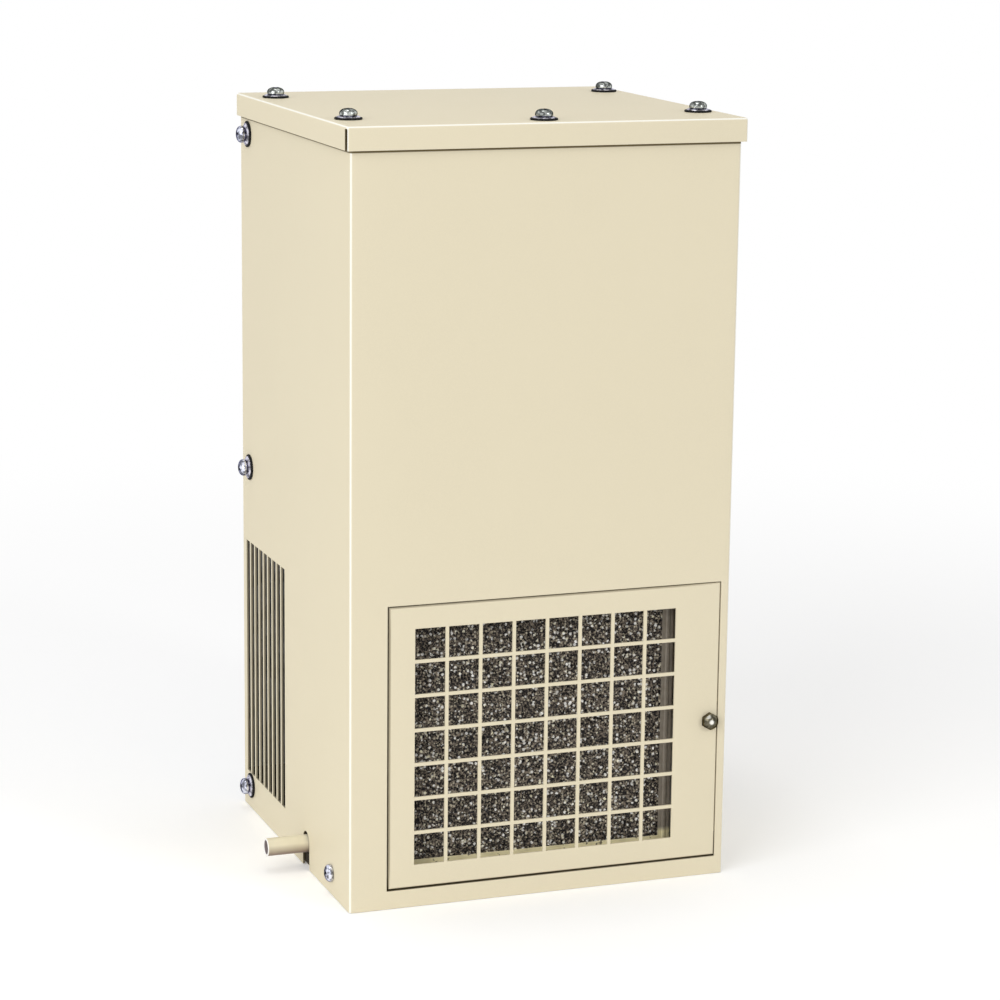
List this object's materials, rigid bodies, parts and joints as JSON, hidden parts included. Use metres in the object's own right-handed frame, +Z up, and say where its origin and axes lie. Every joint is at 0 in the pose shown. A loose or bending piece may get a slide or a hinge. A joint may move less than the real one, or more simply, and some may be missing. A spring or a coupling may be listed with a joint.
{
  "type": "cabinet cooler and dehumidifier",
  "caption": "Upright sheet-metal refrigeration unit that cools and dries cabinet air, with a grilled filter door, side exhaust slots, sealed top cover and a condensate drain stub.",
  "frame": {"origin": "middle of the flat underside of the base pan", "axes": "+Z up, +Y towards the back face that is bolted to the cabinet, +X to the right as seen from the filter door"},
  "size_m": [0.2553, 0.2251, 0.4393],
  "materials": {
    "cream_paint": "fine-textured powder coat, satin",
    "zinc_steel": "bright zinc plate",
    "galvanised_steel": "galvanised sheet",
    "black_paint": "satin black paint",
    "copper": "drawn copper",
    "aluminium": "mill finish",
    "black_rubber": "matt",
    "black_foam": "open-cell foam",
    "black_plastic": "moulded",
    "ivory_plastic": "extruded tube",
    "grey_plastic": "moulded"
  },
  "bodies": {
    "cabinet": {"wrapper": "cream_paint", "top_cover": "cream_paint", "base_pan": "cream_paint", "back_plate": "galvanised_steel", "partition_plate": "galvanised_steel", "rear_gasket": "black_rubber", "cable_grommet": "black_rubber", "hinge_pin_upper": "zinc_steel", "hinge_pin_lower": "zinc_steel", "latch_strike": "zinc_steel", "filter_media": "black_foam", "filter_frame": "aluminium", "filter_holder": "galvanised_steel", "drain_tube": "ivory_plastic", "drip_tray": "galvanised_steel", "drain_hose": "black_rubber", "condenser_fins": "aluminium", "condenser_tube": "copper", "fan_shroud": "galvanised_steel", "fan_motor": "black_paint", "fan_bracket": "galvanised_steel", "compressor": "black_paint", "isolator_1": "black_rubber", "isolator_2": "black_rubber", "isolator_3": "black_rubber", "evaporator_fins": "aluminium", "evaporator_tube": "copper", "blower_motor": "black_paint", "blower_bracket": "galvanised_steel", "discharge_line": "copper", "liquid_line": "copper", "filter_drier": "copper", "capillary_tube": "copper", "suction_line": "copper", "control_box": "galvanised_steel", "control_box_cover": "galvanised_steel", "terminal_block": "black_plastic", "run_capacitor": "aluminium", "thermostat": "grey_plastic", "top_screw_1": "zinc_steel", "top_screw_2": "zinc_steel", "top_screw_3": "zinc_steel", "top_screw_4": "zinc_steel", "top_screw_5": "zinc_steel", "left_side_screw_1": "zinc_steel", "left_side_screw_2": "zinc_steel", "left_side_screw_3": "zinc_steel", "left_base_screw": "zinc_steel", "right_side_screw_1": "zinc_steel", "right_side_screw_2": "zinc_steel", "right_side_screw_3": "zinc_steel", "right_base_screw": "zinc_steel"},
    "door": {"filter_door": "cream_paint"},
    "latch": {"latch_knob": "zinc_steel", "latch_cam": "zinc_steel"},
    "fan": {"condenser_fan": "black_plastic", "fan_shaft": "zinc_steel"},
    "blower": {"blower_wheel": "black_plastic", "blower_shaft": "zinc_steel"},
    "dial": {"thermostat_dial": "black_plastic"}
  },
  "joints": [
    {"name": "door_hinge", "type": "hinge", "parent": "cabinet", "child": "door", "pos_m": [-0.0845, -0.103, 0.0914], "axis": [0, 0, -1], "range_deg": [0, 110]},
    {"name": "door_latch", "type": "hinge", "parent": "door", "child": "latch", "pos_m": [0.1012, -0.107, 0.0914], "axis": [0, 1, 0], "range_deg": [0, 90]},
    {"name": "condenser_fan_spin", "type": "hinge", "parent": "cabinet", "child": "fan", "pos_m": [0, -0.0366, 0.0914], "axis": [0, 1, 0], "continuous": true},
    {"name": "blower_spin", "type": "hinge", "parent": "cabinet", "child": "blower", "pos_m": [0, 0.0672, 0.34515], "axis": [0, 1, 0], "continuous": true},
    {"name": "thermostat_turn", "type": "hinge", "parent": "cabinet", "child": "dial", "pos_m": [0.028, -0.0727, 0.2879], "axis": [0, 0, 1], "range_deg": [0, 270]}
  ]
}
